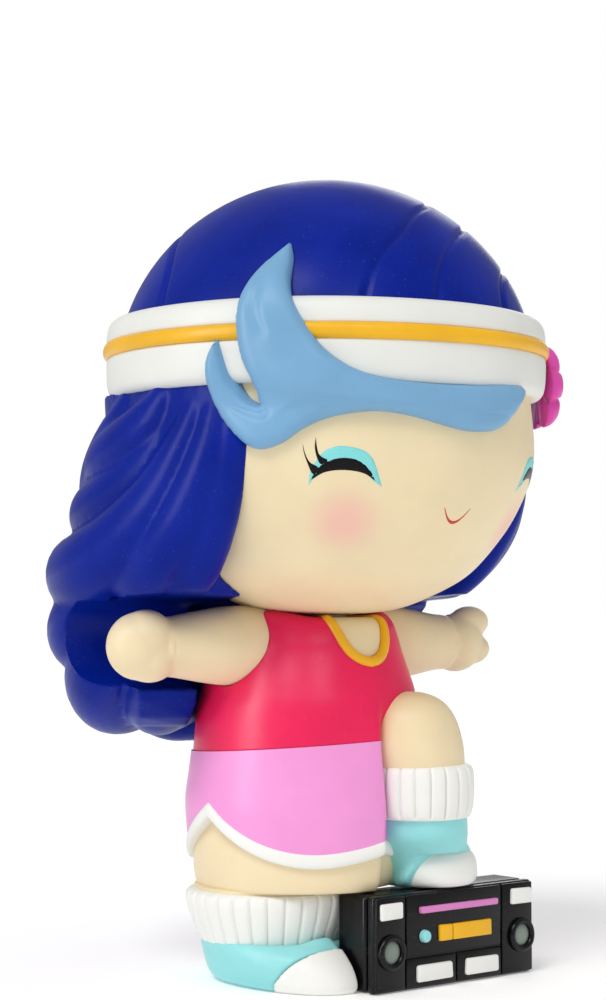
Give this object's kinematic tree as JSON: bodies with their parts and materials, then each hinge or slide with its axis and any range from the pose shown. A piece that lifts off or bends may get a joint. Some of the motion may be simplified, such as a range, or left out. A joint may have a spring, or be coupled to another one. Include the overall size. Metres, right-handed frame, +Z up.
{
  "type": "art toy figurine",
  "caption": "Small standing vinyl figure of a dancer with long hair, headband and ribbed socks, one foot raised on a portable stereo; head and arms turn.",
  "frame": {"origin": "on the ground under the middle of the body, on the right shoe's flat sole", "axes": "+Z up, -Y the way the figure faces, +X to the figure's own left"},
  "size_m": [0.0474, 0.0552, 0.08],
  "materials": {
    "skin": "satin painted vinyl",
    "hair_blue": "satin painted vinyl",
    "fringe_blue": "satin painted vinyl",
    "band_white": "satin painted vinyl",
    "rib_yellow": "satin painted vinyl",
    "flower_pink": "satin painted vinyl",
    "tank_crimson": "satin painted vinyl",
    "shorts_pink": "satin painted vinyl",
    "trim_white": "satin painted vinyl",
    "sock_aqua": "satin painted vinyl",
    "stereo_black": "gloss painted vinyl",
    "tuner_pink": "gloss painted vinyl",
    "speaker_grey": "satin painted vinyl",
    "knob_aqua": "gloss painted vinyl",
    "bare_vinyl": "unpainted vinyl"
  },
  "bodies": {
    "figure": {"torso_shell": "tank_crimson", "chest_panel": "skin", "neckline_trim": "rib_yellow", "neck_plug": "bare_vinyl", "shorts_shell": "shorts_pink", "shorts_trim": "trim_white", "hips": "skin", "right_sock_cuff": "trim_white", "right_shoe": "sock_aqua", "right_toe_cap": "trim_white", "left_knee": "skin", "left_sock_cuff": "trim_white", "left_shoe": "sock_aqua", "left_toe_cap": "trim_white", "stereo_body": "stereo_black", "stereo_front": "stereo_black", "right_speaker_ring": "stereo_black", "left_speaker_ring": "stereo_black", "right_speaker_cone": "speaker_grey", "left_speaker_cone": "speaker_grey", "right_deck_window": "trim_white", "left_deck_window": "trim_white", "right_piano_key": "trim_white", "left_piano_key": "trim_white", "tuner_strip": "tuner_pink", "cassette_window": "rib_yellow", "tuning_knob": "knob_aqua"},
    "head": {"head_shell": "skin", "hair_cap": "hair_blue", "headband": "band_white", "headband_stripe": "rib_yellow", "hair_fringe": "fringe_blue", "flower_petals": "flower_pink", "flower_centre": "rib_yellow", "hair_back": "hair_blue"},
    "right_arm": {"right_arm": "skin"},
    "left_arm": {"left_arm": "skin"}
  },
  "joints": [
    {"name": "neck_swivel", "type": "hinge", "parent": "figure", "child": "head", "pos_m": [0, -0.0028, 0.036], "axis": [0, 0, 1], "range_deg": [-10, 10]},
    {"name": "right_shoulder", "type": "hinge", "parent": "figure", "child": "right_arm", "pos_m": [-0.0074, 0, 0.0333], "axis": [-0.991, 0.1336, 0], "continuous": true},
    {"name": "left_shoulder", "type": "hinge", "parent": "figure", "child": "left_arm", "pos_m": [0.0074, 0, 0.0333], "axis": [0.996, -0.0896, 0], "continuous": true}
  ]
}
